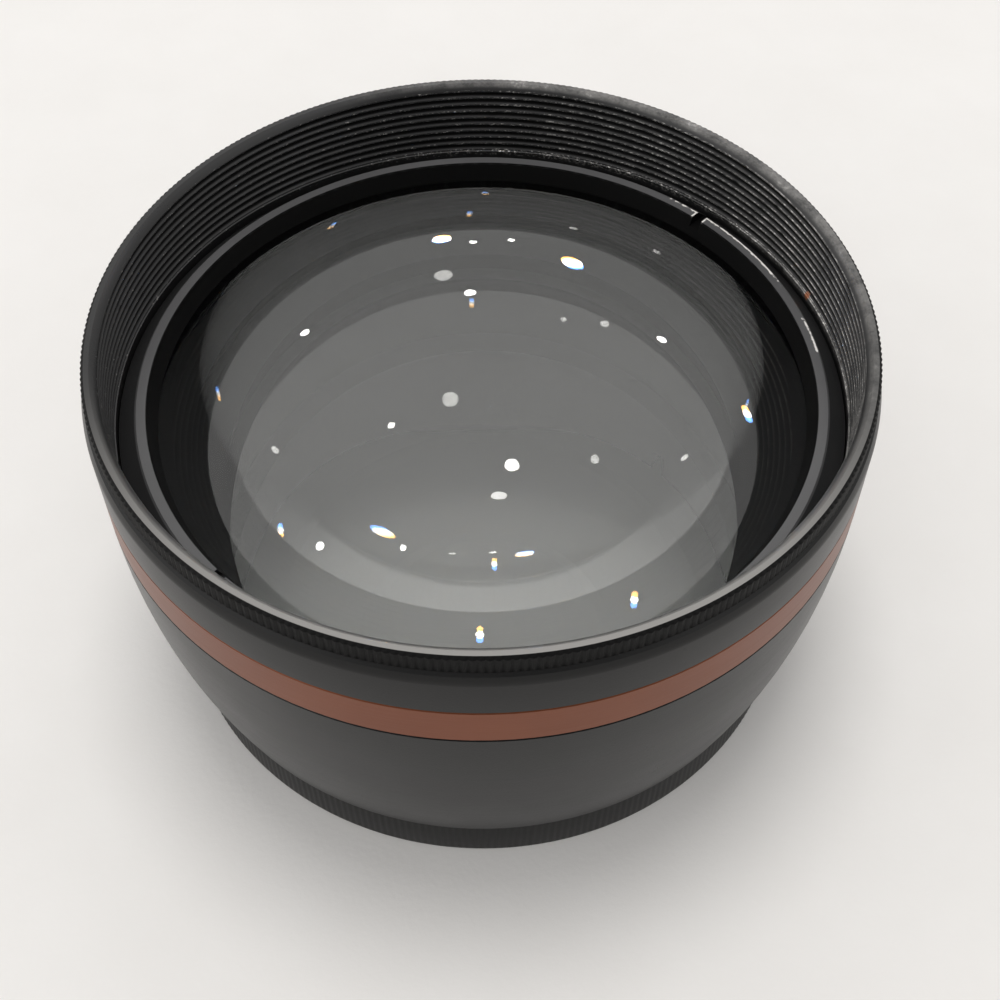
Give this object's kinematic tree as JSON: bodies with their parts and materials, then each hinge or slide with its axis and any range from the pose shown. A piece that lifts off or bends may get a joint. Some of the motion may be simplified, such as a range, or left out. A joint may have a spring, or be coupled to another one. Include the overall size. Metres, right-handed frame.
{
  "type": "teleconverter lens",
  "caption": "Screw-on front converter lens with a bowed barrel, accent ring, ribbed threaded mouth, domed front glass and a threaded foot.",
  "frame": {"origin": "centre of the foot, on the plane that the lens stands on", "axes": "+Z along the optical axis, out of the front glass"},
  "size_m": [0.0646, 0.0646, 0.0361],
  "materials": {
    "black_anodised": "satin black anodised, scuffed at the rim",
    "copper_anodised": "satin copper-orange anodised",
    "coated_glass": "polished and coated against reflections",
    "blackened_steel": "blackened",
    "matte_black": "matte black paint",
    "shim_brass": "plain rolled sheet"
  },
  "bodies": {
    "root": {"front_barrel": "black_anodised", "accent_ring": "copper_anodised", "main_barrel": "black_anodised", "mount_ring": "black_anodised", "mount_ring_screws": "blackened_steel", "front_crown": "coated_glass", "front_flint": "coated_glass", "front_retaining_ring": "black_anodised", "rear_cell": "black_anodised", "cell_shim": "shim_brass", "rear_negative": "coated_glass", "rear_positive": "coated_glass", "rear_retaining_ring": "black_anodised", "stop_washer": "matte_black", "baffle_tube": "matte_black"}
  },
  "joints": []
}
